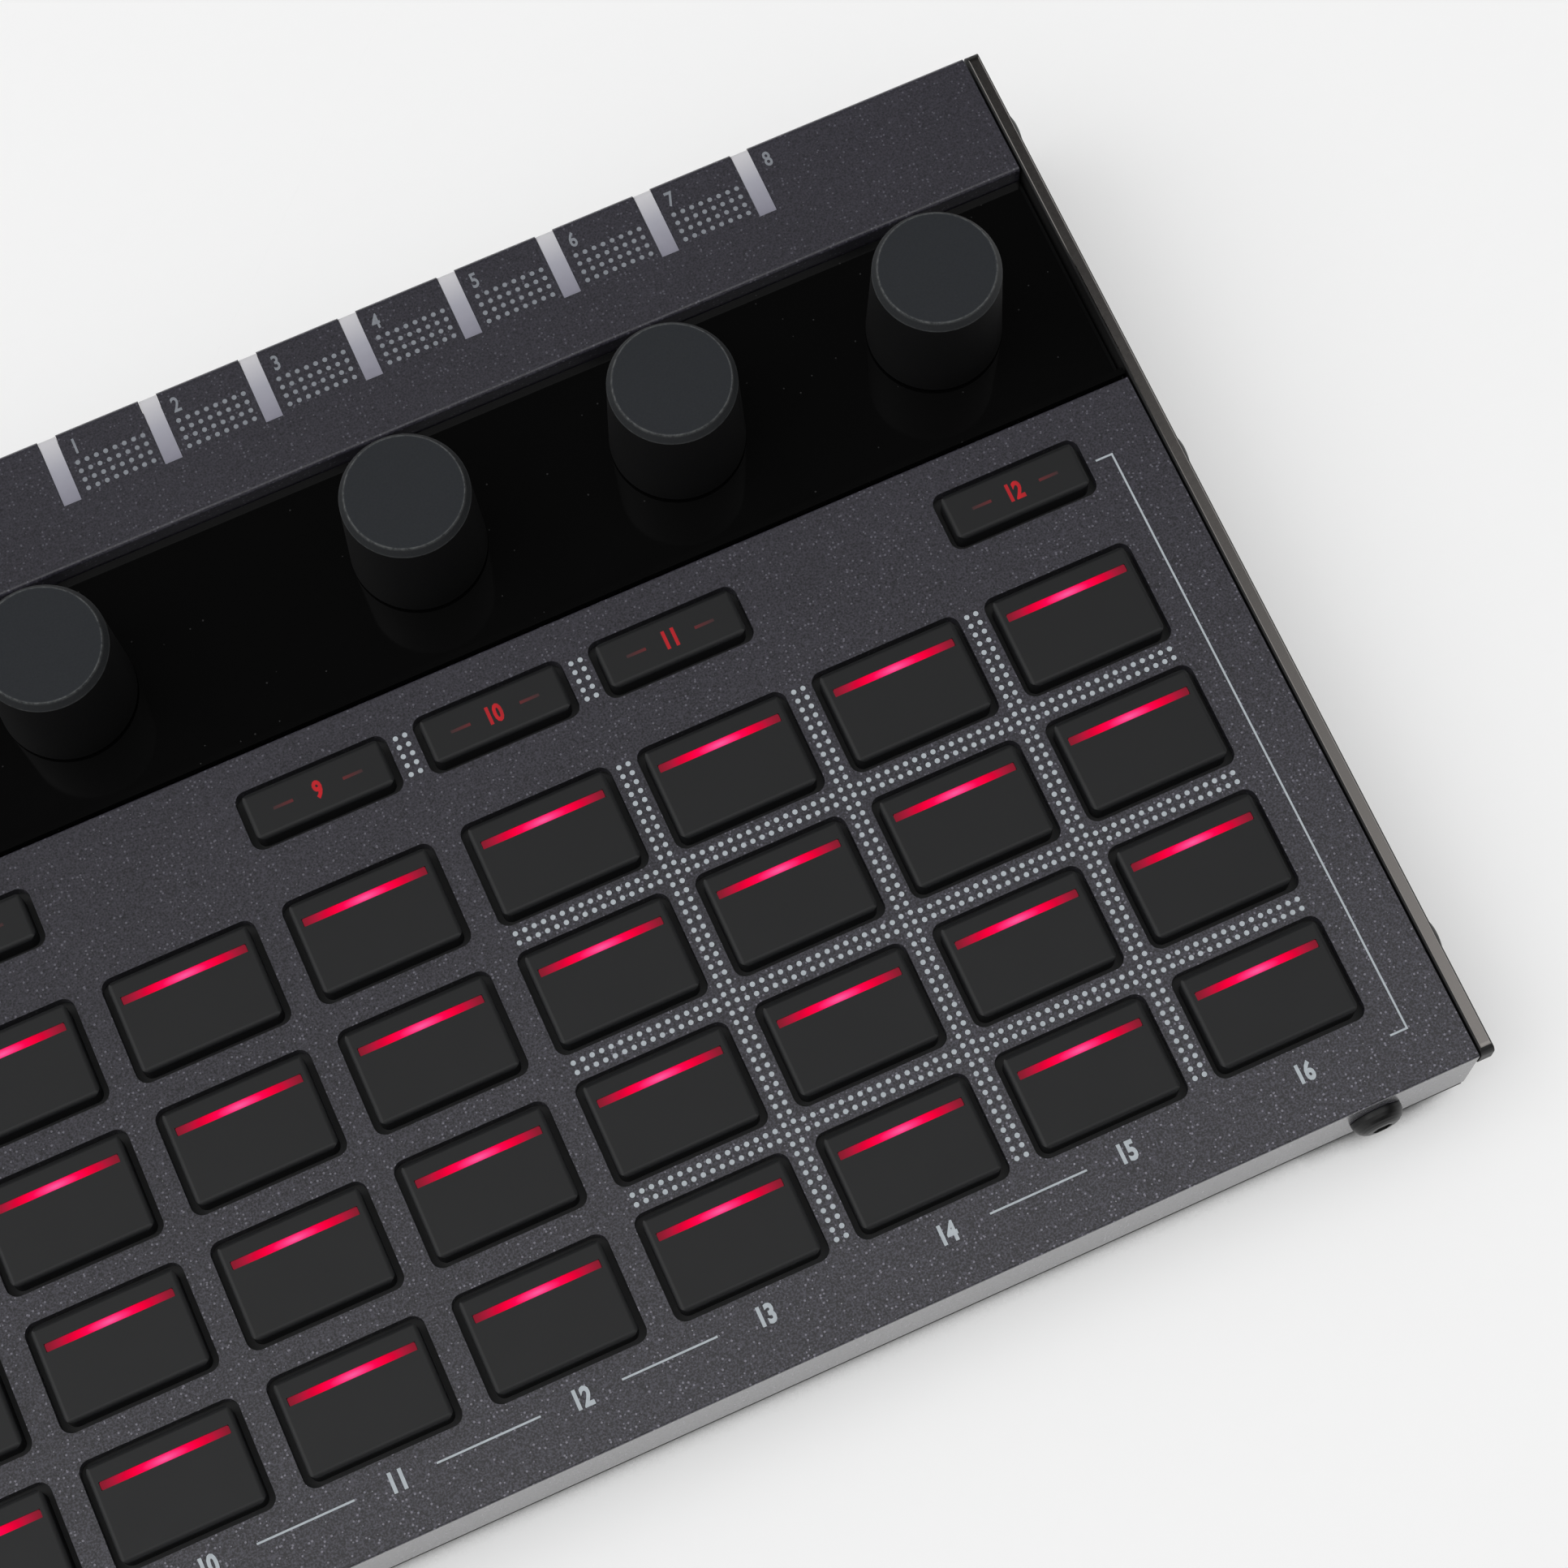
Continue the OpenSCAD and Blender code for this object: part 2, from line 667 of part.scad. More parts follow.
// Jack row, sockets and light guides
module jack_board() {
  low = jack_board_low;
  w = panel_w - 2 * (sheet_t + jack_board_side);
  color(board_green) on_panel()
    translate([-w / 2, jack_board_y, low]) cube([w, board_t, jack_board_top - low]);
}
module jack_sockets() {
  bore_y = jack_body_y + jack_floor;
  color("#202123") on_panel() at_jacks(jacks) difference() {
    union() {
      translate([-jack_w / 2, jack_body_y, -jack_h / 2]) cube([jack_w, jack_d, jack_h]);
      translate([0, bore_y, 0]) back_pin(jack_bush_d, back_y + jack_out - bore_y);
    }
    translate([0, bore_y, 0]) back_pin(jack_bore_d, back_y + jack_out + past - bore_y);
  }
}
module jack_nuts() {
  color(steel) on_panel() at_jacks(jacks) translate([0, back_y + seat, 0]) rotate([-90, 0, 0])
    difference() {
      rotate_extrude() polygon([
        [jack_bush_d / 2 + seat, 0], [jack_nut_d / 2, 0], [jack_nut_d / 2, jack_nut_h - jack_nut_edge],
        [jack_nut_d / 2 - jack_nut_edge, jack_nut_h], [jack_bush_d / 2 + seat, jack_nut_h]
      ]);
      for (a = [0, 90]) rotate([0, 0, a]) translate([0, 0, jack_nut_h])
        cube([2 * jack_nut_d, jack_nut_slot, jack_nut_slot], center = true);
    }
}
module jack_light_guides() {
  start = back_y - guide_l + guide_fit;
  end = back_y - guide_set;
  profile = rounded([
    [start - guide_step, guide_low, 0], [wall_y - guide_fit, guide_low, 0],
    [wall_y - guide_fit, -guide_drop + guide_fit, 0], [end, -guide_drop + guide_fit, 0],
    [end, -guide_set, back_fold_r], [start, -guide_set, 0],
    [start, -sheet_t - guide_fit, 0], [start - guide_step, -sheet_t - guide_fit, 0]
  ]);
  color("#d8d4e2") on_panel() at_lit_jacks() translate([0, 0, jack_z])
    along_x(guide_w - 2 * guide_fit) polygon(profile);
}
module usb_socket() {
  length = back_y + usb_out - jack_body_y;
  shell_r = usb_h / 2 - seat;
  floor_y = length / 2 - usb_mouth;
  color(steel) on_panel() translate([left + usb_x, jack_body_y + length / 2, -jack_z]) {
    difference() {
      along_y(length) rounded_rect(usb_w, usb_h, shell_r);
      translate([0, floor_y + usb_mouth, 0]) along_y(2 * usb_mouth)
        rounded_rect(usb_w - 2 * usb_wall, usb_h - 2 * usb_wall, shell_r - usb_wall);
    }
    translate([0, floor_y + usb_mouth / 2 - root, 0])
      cube([usb_w - 2 * usb_tongue_side, usb_mouth, usb_tongue_t], center = true);
  }
}
module power_socket() {
  length = wall_y - 2 * seat - jack_body_y;
  color("#202123") on_panel() translate([left + power_x, jack_body_y, -jack_z]) {
    difference() {
      union() {
        translate([-jack_w / 2, 0, -jack_h / 2]) cube([jack_w, length, jack_h]);
        back_pin(power_barrel_d, length + sheet_t + seat);
      }
      translate([0, length + sheet_t - power_mouth, 0])
        back_pin(power_barrel_d - 2 * power_wall, power_mouth + past);
    }
    translate([0, root, 0]) back_pin(power_pin_d, length - root);
  }
}
module power_switch() {
  bore = switch_stem_in + switch_travel + slide_fit;
  color("#202123") on_panel() translate([left + switch_x, 0, -jack_z]) difference() {
    translate([-jack_w / 2, jack_body_y, -jack_h / 2]) cube([jack_w, switch_face - jack_body_y, jack_h]);
    translate([0, switch_face - bore, 0]) back_pin(switch_stem_d + 2 * slide_fit, bore + past);
  }
}
module power_button() {
  stem_y = switch_face - switch_stem_in;
  cap_l = back_y + switch_out - switch_cap_y;
  rim = switch_d / 2 + switch_rim;
  color("#2c2d2f") on_panel() translate([left + switch_x, switch_cap_y, -jack_z]) {
    rotate([-90, 0, 0]) rotate_extrude() polygon([
      [0, 0], [rim, 0], [rim, switch_flange], [switch_d / 2, switch_flange],
      [switch_d / 2, cap_l - switch_edge], [switch_d / 2 - switch_edge, cap_l], [0, cap_l]
    ]);
    translate([0, stem_y - switch_cap_y, 0]) back_pin(switch_stem_d, switch_cap_y - stem_y + root);
  }
}

// Strip: display, encoders and knobs
module display_module() {
  low = board_face + seat;
  color("#101114") on_panel() translate([display_x - display_w / 2, strip_y + display_front, low])
    cube([display_w, display_d, strip_under - 2 * seat - low]);
}
module encoder_bodies() {
  color(steel) on_panel() at_knobs() difference() {
    union() {
      translate([-encoder_w / 2, -encoder_d / 2, board_face + seat])
        cube([encoder_w, encoder_d, encoder_top - board_face - seat]);
      translate([0, 0, encoder_top - root]) cylinder(d = bush_d, h = bush_top - encoder_top + root);
    }
    translate([0, 0, shaft_end - slide_fit]) cylinder(d = shaft_d + 2 * shaft_fit, h = knob_h);
  }
}
module encoder_nuts() {
  color(steel) on_panel() at_knobs() translate([0, 0, strip_face + seat]) difference() {
    cylinder(d = nut_af / cos(30), h = nut_h, $fn = 6);
    translate([0, 0, -past]) cylinder(d = bush_d + 2 * seat, h = nut_h + 2 * past);
  }
}
// The part of a D-shaft that a flat takes away
module shaft_flat_cut(gap) {
  translate([shaft_d / 2 - shaft_flat + gap, -shaft_d, bush_top + nut_h])
    cube([shaft_d, 2 * shaft_d, knob_h]);
}
module encoder_shaft(k) {
  color(steel) on_panel() at_knob(k) difference() {
    translate([0, 0, shaft_end]) cylinder(d = shaft_d, h = knob_top - knob_roof - shaft_end - seat);
    shaft_flat_cut(0);
  }
}
module knob(k) {
  bore_d = shaft_d + 2 * knob_fit;
  color(key_black) on_panel() at_knob(k) difference() {
    rotate_extrude() polygon([
      [0, knob_foot], [knob_foot_d / 2, knob_foot], [knob_top_d / 2, knob_top - knob_edge_h],
      [knob_top_d / 2 - knob_edge, knob_top], [0, knob_top]
    ]);
    translate([0, 0, knob_foot - past]) cylinder(d = knob_hollow_d, h = knob_hollow_top - knob_foot + past);
    difference() {
      translate([0, 0, knob_foot]) cylinder(d = bore_d, h = knob_h - knob_roof);
      shaft_flat_cut(knob_fit);
    }
  }
}

// Keys and buttons
module cap(w, d) {
  low = flange_top - root;
  intersection() {
    translate([0, 0, low]) linear_extrude(key_rise - low) rounded_rect(w, d, cut_r - key_gap / 2);
    along_y(2 * d) soft_top(w, low, key_rise, key_edge_r);
    along_x(2 * w) soft_top(d, low, key_rise, key_edge_r);
  }
}
module key_flange(cut_d) {
  translate([0, 0, flange_under]) linear_extrude(key_flange_t)
    rounded_rect(key_cut_w + 2 * flange_over, cut_d + 2 * flange_over, cut_r);
}
module step_key() {
  chamber_top = key_rise - slot_h - light_roof;
  difference() {
    union() {
      cap(key_cut_w - 2 * key_gap, key_cut_d - 2 * key_gap);
      key_flange(key_cut_d);
      translate([-plunger_w / 2, plunger_y - plunger_d / 2, plunger_end])
        cube([plunger_w, plunger_d, flange_under - plunger_end + root]);
    }
    translate([-slot_w / 2, slot_y - slot_d / 2, key_rise - slot_h]) cube([slot_w, slot_d, slot_h + past]);
    translate([-slot_w / 2, slot_y - light_d / 2, flange_under - past])
      cube([slot_w, light_d, chamber_top - flange_under + past]);
  }
}
module step_keys(c) {
  color(key_black) on_panel()
    for (r = [1:rows]) translate([column_x(c), row_y(r), 0]) step_key();
}
module function_button(c) {
  color(key_black) on_panel() translate([column_x(c), button_y, 0]) {
    cap(key_cut_w - 2 * key_gap, button_cap_d);
    key_flange(button_cut_d);
    for (x = [-1, 1]) translate([x * button_leg_x, 0, plunger_end])
      cylinder(d = button_leg_d, h = flange_under - plunger_end + root);
  }
}

top_panel();
rear_cover();
control_strip();
left_cheek();
right_cheek();
base_tray();
rubber_feet();
cheek_screws();
base_screws();
main_board();
board_standoffs();
keypad_mat();
key_lamps();
jack_board();
jack_sockets();
jack_nuts();
jack_light_guides();
usb_socket();
power_socket();
power_switch();
power_button();
display_module();
encoder_bodies();
encoder_nuts();
for (k = [1:knob_count]) {
  knob(k);
  encoder_shaft(k);
}
for (c = button_columns) function_button(c);
for (c = [1:columns]) step_keys(c);
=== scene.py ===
import json
import math

import bmesh
import bpy
from mathutils import Matrix, Vector


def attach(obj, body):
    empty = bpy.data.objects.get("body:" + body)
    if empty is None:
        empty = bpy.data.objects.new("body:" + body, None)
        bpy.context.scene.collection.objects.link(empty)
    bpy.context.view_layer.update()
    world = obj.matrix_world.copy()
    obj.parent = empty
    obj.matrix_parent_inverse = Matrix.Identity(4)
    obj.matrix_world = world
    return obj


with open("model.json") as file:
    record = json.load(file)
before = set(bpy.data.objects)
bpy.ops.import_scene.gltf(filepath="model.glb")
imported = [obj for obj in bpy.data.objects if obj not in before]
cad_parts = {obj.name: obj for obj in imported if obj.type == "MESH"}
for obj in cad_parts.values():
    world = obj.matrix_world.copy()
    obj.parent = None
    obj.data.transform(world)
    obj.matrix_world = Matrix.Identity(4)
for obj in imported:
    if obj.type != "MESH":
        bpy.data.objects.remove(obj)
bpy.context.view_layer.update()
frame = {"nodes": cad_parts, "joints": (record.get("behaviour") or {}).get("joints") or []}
nodes = frame["nodes"]
mm = 0.001
print("frame loaded:", len(nodes), "nodes")

# The panel's own axes in millimetres: across, back from its front edge, out of its face
panel = {
    "joint": "knob_1_turn", "knob": (50, 97, -2.6),   # where the first knob stands on the sunk strip
    "columns": 16, "rows": 4, "pitchX": 20, "pitchY": 15, "frontRow": 14.5,
    "buttonRow": 75, "buttonColumns": [1, 3, 4, 5, 6, 8, 9, 10, 12, 13, 14, 16],
    "inkLow": -0.01, "inkHigh": 0.03,   # prints start just under the paint
}
knobJoint = next(j for j in frame["joints"] if j["name"] == panel["joint"])
across = Vector((1, 0, 0))
upward = Vector(knobJoint["axis"]).normalized()
backward = upward.cross(across)
panelOrigin = Vector(knobJoint["pos_m"])
for axis, step in zip((across, backward, upward), panel["knob"]):
    panelOrigin -= axis * step * mm
panelMatrix = Matrix.Translation(panelOrigin) @ Matrix((across, backward, upward)).transposed().to_4x4()
panelMatrix = panelMatrix @ Matrix.Scale(mm, 4)


def columnX(column):
    return (column - (panel["columns"] + 1) / 2) * panel["pitchX"]


def rowY(row):
    return panel["frontRow"] + (row - 1) * panel["pitchY"]


# Shader maths: a wired socket that takes part in Python sums
class Wire:
    def __init__(self, owner, socket):
        self.owner = owner
        self.socket = socket

    def math(self, operation, *others):
        return self.owner.node("ShaderNodeMath", {"operation": operation}, dict(enumerate((self, *others))))

    def behind(self, operation, other):   # the reflected forms: the other value comes first
        return self.owner.node("ShaderNodeMath", {"operation": operation}, {0: other, 1: self})

    def __add__(self, other):
        return self.math("ADD", other)

    def __radd__(self, other):
        return self.behind("ADD", other)

    def __sub__(self, other):
        return self.math("SUBTRACT", other)

    def __rsub__(self, other):
        return self.behind("SUBTRACT", other)

    def __mul__(self, other):
        return self.math("MULTIPLY", other)

    def __rmul__(self, other):
        return self.behind("MULTIPLY", other)

    def __truediv__(self, other):
        return self.math("DIVIDE", other)

    def __rtruediv__(self, other):
        return self.behind("DIVIDE", other)

    def __gt__(self, other):
        return self.math("GREATER_THAN", other)

    def __lt__(self, other):
        return self.math("LESS_THAN", other)

    def __abs__(self):
        return self.math("ABSOLUTE")

    def clip(self):
        return self.owner.node("ShaderNodeClamp", None, {0: self})

    def root(self):
        return self.math("SQRT")


class Tree:
    def __init__(self, tree):
        self.tree = tree

    def plug(self, socket, value):
        if isinstance(value, Wire):
            self.tree.links.new(value.socket, socket)
        else:
            socket.default_value = value

    def node(self, kind, settings=None, sockets=None, out=0):
        made = self.tree.nodes.new(kind)
        for key, value in (settings or {}).items():
            if key == "stops":
                fillRamp(made.color_ramp, value)
            else:
                setattr(made, key, value)
        for key, value in (sockets or {}).items():
            self.plug(made.inputs[key], value)
        return Wire(self, made.outputs[out])

    def mix(self, factor, first, second):
        return self.node("ShaderNodeMix", {"data_type": "RGBA"}, {0: factor, 6: first, 7: second}, out=2)

    def ramp(self, value, stops):
        return self.node("ShaderNodeValToRGB", {"stops": stops}, {0: value})

    def seen(self):   # 1 on rays that show a thing directly, in a mirror or through glass
        kinds = ("Camera", "Glossy", "Transmission")
        camera, mirror, glass = (self.node("ShaderNodeLightPath", out=f"Is {kind} Ray") for kind in kinds)
        return (camera + mirror + glass).clip()


class Finish(Tree):
    def __init__(self, name, constants):
        self.material = bpy.data.materials.new(name)
        self.material.use_nodes = True
        super().__init__(self.material.node_tree)
        self.shader = self.tree.nodes["Principled BSDF"]
        for key, value in constants.items():
            self.feed(key, value)
        self.place = self.node("ShaderNodeTexCoord", out="Object")

    def feed(self, key, value):
        self.plug(self.shader.inputs[key], value)

    def noise(self, size, detail=2, roughness=0.5):   # size of a blotch in millimetres
        sockets = {"Vector": self.place, "Scale": 1 / (size * mm), "Detail": detail, "Roughness": roughness}
        return self.node("ShaderNodeTexNoise", None, sockets)

    def flecks(self, size, radius, share):   # specks in a share of the cells; the radius is in cells
        sockets = {"Vector": self.place, "Scale": 1 / (size * mm)}
        distance = self.node("ShaderNodeTexVoronoi", None, sockets)
        cell = self.node("ShaderNodeTexVoronoi", None, sockets, out="Color")
        chance = self.node("ShaderNodeSeparateColor", None, {0: cell})
        return (distance < radius) * (chance < share)

    def along(self, axis, start):   # millimetres along an axis, from a point in panel millimetres
        origin = panelMatrix @ Vector(start)
        sockets = {0: self.place, 1: axis}
        reach = self.node("ShaderNodeVectorMath", {"operation": "DOT_PRODUCT"}, sockets, out="Value")
        return (reach - origin.dot(axis)) / mm

    def bump(self, height, depth, strength=1.0):   # depth in millimetres
        sockets = {"Strength": strength, "Distance": depth * mm, "Height": height}
        self.feed("Normal", self.node("ShaderNodeBump", None, sockets))


def fillRamp(ramp, stops):
    while len(ramp.elements) > 1:
        ramp.elements.remove(ramp.elements[-1])
    for index, (position, colour) in enumerate(stops):
        element = ramp.elements[0] if index == 0 else ramp.elements.new(position)
        element.position = position
        element.color = colour


def paint(red, green, blue):   # a colour as a screen shows it, 0 to 255
    def linear(value):
        share = value / 255
        return share / 12.92 if share <= 0.04045 else ((share + 0.055) / 1.055) ** 2.4
    return (linear(red), linear(green), linear(blue), 1.0)


def grey(value):
    return paint(value, value, value)


# Finishes: sizes of grain, clouds and specks are in millimetres
def powderCoat():
    coat = {
        "dark": paint(22, 21, 28), "light": paint(66, 64, 75), "grain": 0.22, "cloud": 18,
        "level": 0.4, "contrast": 1.8, "cloudy": 0.15, "flakeShare": 0.3,
        "flakes": (0.5, 0.24, 0.45), "flake": paint(122, 120, 132),   # cell, radius and share
        "paintedSparks": (1.1, 0.065, 0.4), "paintedSpark": paint(176, 176, 184),
        "paintedGlintEnd": 95, "paintedGlintContrast": 2.4, "paintedGlintFlakes": 0.5, "paintedSparkShare": 0.55,   # painted glints, strongest at the front
        "rough": 0.46, "grainRough": 0.16, "flakeGloss": 0.14, "lacquer": 0.7, "grainLacquer": 0.4,
        "bump": 0.012, "flakeBump": 0.3,
    }
    f = Finish("powderCoat", {"Specular IOR Level": 0.35, "Coat Roughness": 0.2})
    grain = f.noise(coat["grain"], 2, 0.6)
    cloud = f.noise(coat["cloud"], 2)
    flake = f.flecks(*coat["flakes"])
    paintedSpark = f.flecks(*coat["paintedSparks"])
    # Painted highlight: the bright sparks, part of the flakes and part of the grain contrast stand for
    # glints of the ceiling light, strongest at the front edge and fading out towards the back
    paintedGlint = ((coat["paintedGlintEnd"] - f.along(backward, (0, 0, 0))) / coat["paintedGlintEnd"]).clip()
    contrast = coat["contrast"] + paintedGlint * coat["paintedGlintContrast"]
    sand = ((grain - 0.5) * contrast + coat["level"] + (cloud - 0.5) * coat["cloudy"]).clip()
    flaky = flake * (coat["flakeShare"] + paintedGlint * coat["paintedGlintFlakes"])
    flaked = f.mix(flaky, f.mix(sand, coat["dark"], coat["light"]), coat["flake"])
    f.feed("Base Color", f.mix(paintedSpark * paintedGlint * coat["paintedSparkShare"], flaked, coat["paintedSpark"]))
    f.feed("Roughness", coat["rough"] + grain * coat["grainRough"] - flake * coat["flakeGloss"])
    f.feed("Coat Weight", coat["lacquer"] + grain * coat["grainLacquer"])
    f.bump(grain + flake * coat["flakeBump"], coat["bump"], 0.5)
    return f.material


def softRubber(name, dark, light, rough):
    rubber = {
        "skin": 0.16, "touch": 6, "skinShare": 0.6, "touchShare": 0.4,
        "skinRough": 0.12, "touchGloss": 0.08, "bump": 0.01,
    }
    f = Finish(name, {"Specular IOR Level": 0.5})
    skin = f.noise(rubber["skin"], 3, 0.6)
    touch = f.noise(rubber["touch"], 3)
    f.feed("Base Color", f.mix(skin * rubber["skinShare"] + touch * rubber["touchShare"], dark, light))
    f.feed("Roughness", rough + skin * rubber["skinRough"] - touch * rubber["touchGloss"])
    f.bump(skin, rubber["bump"], 0.5)
    return f.material


def polishedBlack():
    gloss = {
        "black": grey(5), "rough": 0.04, "smear": 9, "smearRough": 0.05,
        "dust": (1.6, 0.06, 0.5), "dusty": grey(60), "dustShare": 0.25, "dustRough": 0.3,
    }
    f = Finish("polishedBlack", {"Specular IOR Level": 0.5})
    smear = f.noise(gloss["smear"], 4, 0.6)
    dust = f.flecks(*gloss["dust"])
    f.feed("Base Color", f.mix(dust * gloss["dustShare"], gloss["black"], gloss["dusty"]))
    f.feed("Roughness", gloss["rough"] + smear * gloss["smearRough"] + dust * gloss["dustRough"])
    return f.material


# A knob's cap: matt disc, a painted highlight round its top edge and along the bevel's foot, a bevel, and
# sides painted dark as shade
def knobPlastic(number):
    knob = {
        "discR": 6.3, "topZ": 13.1, "bevelZ": 12.1, "skin": 0.02,
        # the side colour is painted shade: the sides are set much darker than the top
        "side": paint(9, 9, 10), "bevel": paint(38, 40, 42), "top": paint(39, 42, 46),
        "grain": 0.2, "pore": grey(16), "poreShare": 0.35, "rough": 0.55, "grainRough": 0.16, "bump": 0.02,
        "rim": paint(96, 98, 98), "rimW": 0.16, "rimDeep": 0.3,
        "foldW": 0.16, "foldShare": 0.35, "highlightPatches": 0.5,
    }
    joint = next(j for j in frame["joints"] if j["name"] == f"knob_{number}_turn")
    start = (joint["pos_m"][0] / mm, panel["knob"][1], 0)
    f = Finish(f"knobPlastic{number}", {"Specular IOR Level": 0.22})
    x, y, z = (f.along(axis, start) for axis in (across, backward, upward))
    radius = (x * x + y * y).root()
    grain = f.noise(knob["grain"], 3, 0.7)
    worn = f.noise(knob["highlightPatches"], 3, 0.75)
    disc = (z > knob["topZ"] - knob["skin"]) * (radius < knob["discR"])
    edge = (1 - abs(radius - knob["discR"]) / knob["rimW"]).clip() * (z > knob["topZ"] - knob["rimDeep"])
    fold = (1 - abs(z - knob["bevelZ"]) / knob["foldW"]).clip() * knob["foldShare"]
    body = f.mix(disc, f.mix(z > knob["bevelZ"], knob["side"], knob["bevel"]), knob["top"])
    body = f.mix((grain * 1.6 - 0.5).clip() * knob["poreShare"], body, knob["pore"])
    # Painted highlight: a lighter ring at the top edge and a lighter line at the bevel's foot, broken into
    # patches by noise
    highlightPatches = (edge + fold) * (worn * 2.6 - 0.75).clip()
    f.feed("Base Color", f.mix(highlightPatches.clip(), body, knob["rim"]))
    f.feed("Roughness", knob["rough"] + grain * knob["grainRough"])
    f.bump(grain, knob["bump"], 0.5)
    return f.material


def satinBlack(name, dark, light, rough):
    satin = {"grain": 0.4, "cloud": 20, "grainRough": 0.14, "bump": 0.015}
    f = Finish(name, {"Specular IOR Level": 0.35})
    grain = f.noise(satin["grain"], 3, 0.6)
    cloud = f.noise(satin["cloud"], 2)
    f.feed("Base Color", f.mix(grain * 0.5 + cloud * 0.5, dark, light))
    f.feed("Roughness", rough + grain * satin["grainRough"])
    f.bump(grain, satin["bump"], 0.5)
    return f.material


def metal(name, colour, rough, streak):
    worn = {"lines": 0.5, "lineRough": 0.16, "tarnish": 2.5, "dull": grey(70), "dullShare": 0.5}
    f = Finish(name, {"Metallic": 1.0})
    stretched = f.node("ShaderNodeMapping", None, {0: f.place, "Scale": (streak, 1.0, 1.0)})
    sockets = {"Vector": stretched, "Scale": 1 / (worn["lines"] * mm), "Detail": 3}
    lines = f.node("ShaderNodeTexNoise", None, sockets)
    tarnish = f.noise(worn["tarnish"], 3)
    f.feed("Base Color", f.mix(tarnish * worn["dullShare"], colour, worn["dull"]))
    f.feed("Roughness", rough + lines * worn["lineRough"])
    return f.material


# A cheek: black paint, with a bare metal top edge
def cheekPlate():
    plate = {
        "paint": grey(24), "grain": 0.4, "rough": 0.46, "grainRough": 0.1,
        "bare": paint(143, 139, 136), "bareZ": 0.12, "bareGloss": 0.3,
    }
    f = Finish("cheekPlate", {"Specular IOR Level": 0.4})
    bare = f.along(upward, (0, 0, 0)) > plate["bareZ"]
    grain = f.noise(plate["grain"], 3, 0.6)
    f.feed("Base Color", f.mix(bare, plate["paint"], plate["bare"]))
    f.feed("Metallic", bare)
    f.feed("Roughness", plate["rough"] + grain * plate["grainRough"] - bare * plate["bareGloss"])
    return f.material


def frostedGuide():
    guide = {
        "front": 115.9, "length": 8.3, "haze": 1.2, "hazeShare": 0.25, "hazy": paint(176, 174, 186),
        "stops": [(0.0, paint(124, 123, 136)), (0.5, paint(160, 160, 170)), (1.0, paint(212, 211, 213))],
    }
    f = Finish("frostedGuide", {"Specular IOR Level": 0.4, "Roughness": 0.35})
    # Painted shade and light: the colour runs from darker at the front end to lighter at the back, standing
    # in for light through the frosted guide
    share = f.along(backward, (0, guide["front"], 0)) / guide["length"]
    haze = f.noise(guide["haze"], 3)
    f.feed("Base Color", f.mix(haze * guide["hazeShare"], f.ramp(share, guide["stops"]), guide["hazy"]))
    return f.material


def circuitBoard():
    mask = {
        "dark": paint(22, 62, 42), "light": paint(52, 98, 66), "runs": 6, "runW": 0.03, "runShare": 0.5,
        "blotch": 3, "blotchShare": 0.2, "rough": 0.35, "blotchRough": 0.2,
    }
    f = Finish("circuitBoard", {"Specular IOR Level": 0.5})
    sockets = {"Vector": f.place, "Scale": 1 / (mask["runs"] * mm), "Mortar Size": mask["runW"]}
    runs = f.node("ShaderNodeTexBrick", None, sockets, out="Fac")
    blotch = f.noise(mask["blotch"], 3)
    copper = runs * mask["runShare"] + blotch * mask["blotchShare"]
    f.feed("Base Color", f.mix(copper, mask["dark"], mask["light"]))
    f.feed("Roughness", mask["rough"] + blotch * mask["blotchRough"])
    return f.material


def lensWhite():
    lens = {
        "clear": paint(226, 222, 205), "milky": paint(244, 240, 228),
        "haze": 0.8, "rough": 0.25, "hazeRough": 0.15,
    }
    f = Finish("lensWhite", {"Specular IOR Level": 0.5})
    haze = f.noise(lens["haze"], 2)
    f.feed("Base Color", f.mix(haze, lens["clear"], lens["milky"]))
    f.feed("Roughness", lens["rough"] + haze * lens["hazeRough"])
    return f.material


def darkGlass():
    glass = {
        "dark": paint(10, 11, 14), "light": paint(18, 19, 24),
        "smear": 8, "rough": 0.08, "smearRough": 0.1,
    }
    f = Finish("darkGlass", {"Specular IOR Level": 0.5})
    smear = f.noise(glass["smear"], 3)
    f.feed("Base Color", f.mix(smear, glass["dark"], glass["light"]))
    f.feed("Roughness", glass["rough"] + smear * glass["smearRough"])
    return f.material


def printInk(name, dark, light):
    ink = {"worn": 0.5, "rough": 0.55, "wornRough": 0.15}
    f = Finish(name, {"Specular IOR Level": 0.3})
    worn = f.noise(ink["worn"], 3)
    f.feed("Base Color", f.mix(worn, dark, light))
    f.feed("Roughness", ink["rough"] + worn * ink["wornRough"])
    return f.material


# A lamp under the middle of each key lights its slot: hot pink in the middle, deep red at the ends
def glowBar():
    glow = {
        "half": 7.0, "deep": 1.7, "behind": 2.7,   # reach along and across the slot, and its place
        "unlit": paint(6, 1, 2), "unlitEnd": paint(4, 1, 1),
        "stops": [
            (0.0, paint(252, 96, 162)), (0.2, paint(252, 52, 124)), (0.35, paint(252, 6, 82)),
            (0.5, paint(248, 1, 58)), (0.64, paint(214, 6, 54)), (0.79, paint(170, 26, 56)),
            (0.93, paint(140, 30, 48)), (1.0, paint(130, 30, 46)),
        ],
    }
    f = Finish("glowBar", {"Specular IOR Level": 0.0, "Roughness": 0.5, "Emission Strength": 1.0})
    cell = (f.along(across, (0, 0, 0)) / panel["pitchX"]).math("FRACT")
    row = (f.along(backward, (0, rowY(1) + glow["behind"], 0)) / panel["pitchY"] + 0.5).math("FRACT")
    x = (cell - 0.5) * (panel["pitchX"] / glow["half"])
    y = (row - 0.5) * (panel["pitchY"] / glow["deep"])
    reach = (x * x + y * y).root()
    f.feed("Base Color", f.mix(reach, glow["unlit"], glow["unlitEnd"]))
    f.feed("Emission Color", f.ramp(reach, glow["stops"]))
    return f.material


